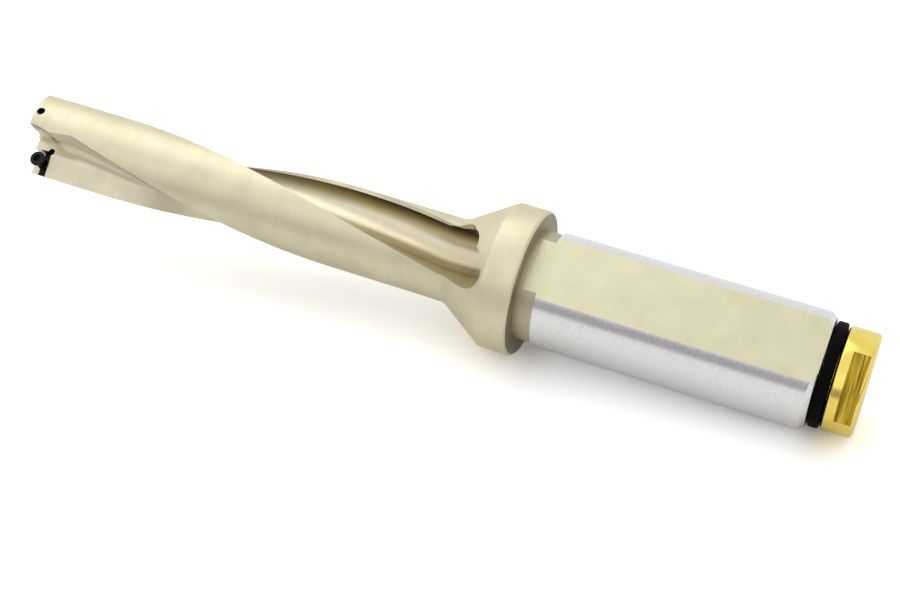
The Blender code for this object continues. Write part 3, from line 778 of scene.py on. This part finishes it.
# Seal ring
# A flat ring of black rubber with slightly rounded rims. The brass plug squeezes it against the end face of
# the shank, so that coolant can't leak past the plug's thread.
SEAL_INNER = 4.5 * MM
SEAL_OUTER = 8.9 * MM
SEAL_TOP = -0.25 * MM
SEAL_BOTTOM = -2.05 * MM
SEAL_ROUND = 0.4 * MM
SEAL_ROUND_STEPS = 6
SEAL_SHARP_ANGLE = math.radians(35.0)

black_rubber = finish("black_rubber", (0.003, 0.003, 0.003), roughness=0.55, metallic=0.0, specular=0.03)
vary_roughness(black_rubber, EVEN, scale=1200.0, low=0.42, high=0.68)
raise_grain(black_rubber, EVEN, scale=3000.0, height=0.01 * MM)

seal_profile = rounded([
    (SEAL_INNER, SEAL_TOP, False),
    (SEAL_OUTER, SEAL_TOP, True),
    (SEAL_OUTER, SEAL_BOTTOM, True),
    (SEAL_INNER, SEAL_BOTTOM, False),
], SEAL_ROUND, SEAL_ROUND_STEPS)
seal_ring = new_piece("black_seal_ring", turned(seal_profile, BODY_SIDES), black_rubber)
lay_down(seal_ring, SEAL_SHARP_ANGLE)
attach(seal_ring, "root")
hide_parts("seal_ring")

# Coolant plug
# A hollow plug turned from brass bar, polished on its rim, with two wrench slots milled into its head. Its
# spigot screws into the bore of the shank, and the coolant goes in through it.
PLUG_RADIUS = 8.75 * MM
PLUG_TOP = -2.3 * MM
PLUG_BOTTOM = -7.5 * MM
PLUG_CHAMFER = 0.4 * MM
PLUG_ROUND = 0.15 * MM
PLUG_BORE = 2.0 * MM
PLUG_SHARP_ANGLE = math.radians(25.0)
SPIGOT_RADIUS = 4.25 * MM
SPIGOT_TOP = 7.7 * MM
SPIGOT_CHAMFER = 0.5 * MM
WRENCH_SLOT_TOP = -4.2 * MM
WRENCH_SLOT_BOTTOM = -6.95 * MM
WRENCH_SLOT_FLOOR = 6.55 * MM
WRENCH_SLOT_LINES = (1.0, 0.05, 0.05)
WRENCH_TURN = math.radians(-33.0)

polished_brass = finish("polished_brass", (0.97, 0.76, 0.16), roughness=0.16)
mottle(polished_brass, EVEN, scale=300.0, dark=(0.92, 0.67, 0.11), light=(1.0, 0.84, 0.22))
vary_roughness(polished_brass, TURNING_LINES, scale=1500.0, low=0.1, high=0.24)
raise_grain(polished_brass, TURNING_LINES, scale=2600.0, height=0.003 * MM)

slot_brass = finish("slot_brass", (0.62, 0.42, 0.06), roughness=0.34)
mottle(slot_brass, WRENCH_SLOT_LINES, scale=3000.0, dark=(0.10, 0.055, 0.004), light=(0.90, 0.62, 0.07))
raise_grain(slot_brass, WRENCH_SLOT_LINES, scale=1800.0, height=0.012 * MM)

plug_profile = rounded([
    (PLUG_BORE, SPIGOT_TOP, True),
    (SPIGOT_RADIUS - SPIGOT_CHAMFER, SPIGOT_TOP, True),
    (SPIGOT_RADIUS, SPIGOT_TOP - SPIGOT_CHAMFER, True),
    (SPIGOT_RADIUS, PLUG_TOP, False),
    (PLUG_RADIUS - PLUG_CHAMFER, PLUG_TOP, True),
    (PLUG_RADIUS, PLUG_TOP - PLUG_CHAMFER, True),
    (PLUG_RADIUS, PLUG_BOTTOM + PLUG_CHAMFER, True),
    (PLUG_RADIUS - PLUG_CHAMFER, PLUG_BOTTOM, True),
    (PLUG_BORE + PLUG_CHAMFER, PLUG_BOTTOM, True),
    (PLUG_BORE, PLUG_BOTTOM + PLUG_CHAMFER, True),
], PLUG_ROUND)
coolant_plug = new_piece("brass_plug", turned(plug_profile, BODY_SIDES), polished_brass)
for half_turn in (0.0, math.pi):
    slot = box((-CUT_REACH, WRENCH_SLOT_FLOOR, WRENCH_SLOT_BOTTOM), (CUT_REACH, CUT_REACH, WRENCH_SLOT_TOP))
    cut(coolant_plug, turn_about_axis(slot, WRENCH_TURN + half_turn), slot_brass)
lay_down(coolant_plug, PLUG_SHARP_ANGLE)
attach(coolant_plug, "root")
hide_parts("coolant_plug")

# Table and light
# The tool lies on a white table in a light tent, under a soft round lamp that hangs behind it and towards its
# point. The tent is white at the back and overhead, and grey in front up to about a third of its height. The
# ground shank reflects that as a dark band.
TABLE_REACH = 0.4
TABLE_GAP = 0.02 * MM
TABLE_COLOUR = (0.85, 0.85, 0.85)
TABLE_AS_SEEN = (1.45, 1.45, 1.45)
LAMP_PLACE = Vector((-0.4, 0.35, 0.75))
LAMP_SIZE = 0.9
LAMP_POWER = 1.6

# The camera sees the table whiter than the tool does, so that the picture's ground is plain white
white_table = finish("white_table", TABLE_COLOUR, roughness=0.8, metallic=0.0, specular=0.0)
tree = white_table.node_tree
path = tree.nodes.new("ShaderNodeLightPath")
seen = tree.nodes.new("ShaderNodeMath")
seen.operation = "MAXIMUM"
tree.links.new(path.outputs["Is Camera Ray"], seen.inputs[0])
tree.links.new(path.outputs["Is Transmission Ray"], seen.inputs[1])
white = tint(tree, seen.outputs["Value"], TABLE_COLOUR, TABLE_AS_SEEN)
tree.links.new(white, shader_of(white_table).inputs["Base Color"])

bm = bmesh.new()
bmesh.ops.create_grid(bm, x_segments=1, y_segments=1, size=TABLE_REACH)
bmesh.ops.translate(bm, verts=bm.verts, vec=(0.0, 0.0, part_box("drill_body")[0].z - TABLE_GAP))
table = new_piece("table", bm, white_table)

# The front of the tent by the height of the direction, where -1 is straight down and 1 is straight up
TENT_FRONT = [
    (-0.09, (0.85, 0.85, 0.85)),
    (-0.06, (0.10, 0.09, 0.10)),
    (-0.03, (0.22, 0.20, 0.22)),
    (0.02, (0.36, 0.34, 0.37)),
    (0.25, (0.40, 0.37, 0.39)),
    (0.36, (1.05, 1.05, 1.04)),
    (0.62, (1.08, 1.08, 1.08)),
    (0.90, (0.92, 0.92, 0.92)),
]
TENT_BACK = (0.85, 0.85, 0.84)
TENT_BACK_START = -0.2
TENT_BACK_FULL = 0.25
TENT_AS_SEEN = (1.0, 1.0, 1.0)

world = bpy.data.worlds.new("light_tent")
bpy.context.scene.world = world
world.use_nodes = True
tree = world.node_tree
place = tree.nodes.new("ShaderNodeTexCoord")
direction = tree.nodes.new("ShaderNodeSeparateXYZ")
tree.links.new(place.outputs["Generated"], direction.inputs["Vector"])
height = remap(tree, direction.outputs["Z"], -1.0, 1.0)
front = colour_ramp(tree, height, [((level + 1) / 2, colour) for level, colour in TENT_FRONT])
backward = remap(tree, direction.outputs["Y"], TENT_BACK_START, TENT_BACK_FULL, curve="SMOOTHSTEP")
tent = tint(tree, backward, front, TENT_BACK)
path = tree.nodes.new("ShaderNodeLightPath")
tent = tint(tree, path.outputs["Is Camera Ray"], tent, TENT_AS_SEEN)
tree.links.new(tent, tree.nodes["Background"].inputs["Color"])

lamp_data = bpy.data.lights.new("soft_lamp", "AREA")
lamp_data.shape = "DISK"
lamp_data.size = LAMP_SIZE
lamp_data.energy = LAMP_POWER
lamp = bpy.data.objects.new("soft_lamp", lamp_data)
lamp.matrix_world = Matrix.Translation(LAMP_PLACE) @ LAMP_PLACE.to_track_quat("Z", "Y").to_matrix().to_4x4()
bpy.context.scene.collection.objects.link(lamp)

# Camera
# It looks down at the tool from in front of the shank, turned a little about its own axis, so that the tool
# runs across the picture and down to the right.
CAMERA_PLACE = (0.047046, -0.204334, 0.172767)
VIEW_RIGHT = (0.92177, 0.38772, -0.00289)
VIEW_UP = (-0.24536, 0.58905, 0.76994)
VIEW_BACK = (0.30023, -0.70900, 0.63809)
LENS = 66.96
SENSOR_WIDTH = 36.0
NEAREST_SEEN = 0.01

camera_data = bpy.data.cameras.new("camera")
camera_data.lens = LENS
camera_data.sensor_width = SENSOR_WIDTH
camera_data.clip_start = NEAREST_SEEN
camera = bpy.data.objects.new("camera", camera_data)
camera.matrix_world = (Matrix.Translation(CAMERA_PLACE)
                       @ Matrix((VIEW_RIGHT, VIEW_UP, VIEW_BACK)).transposed().to_4x4())
bpy.context.scene.collection.objects.link(camera)
bpy.context.scene.camera = camera
bpy.context.scene.view_settings.view_transform = "Standard"
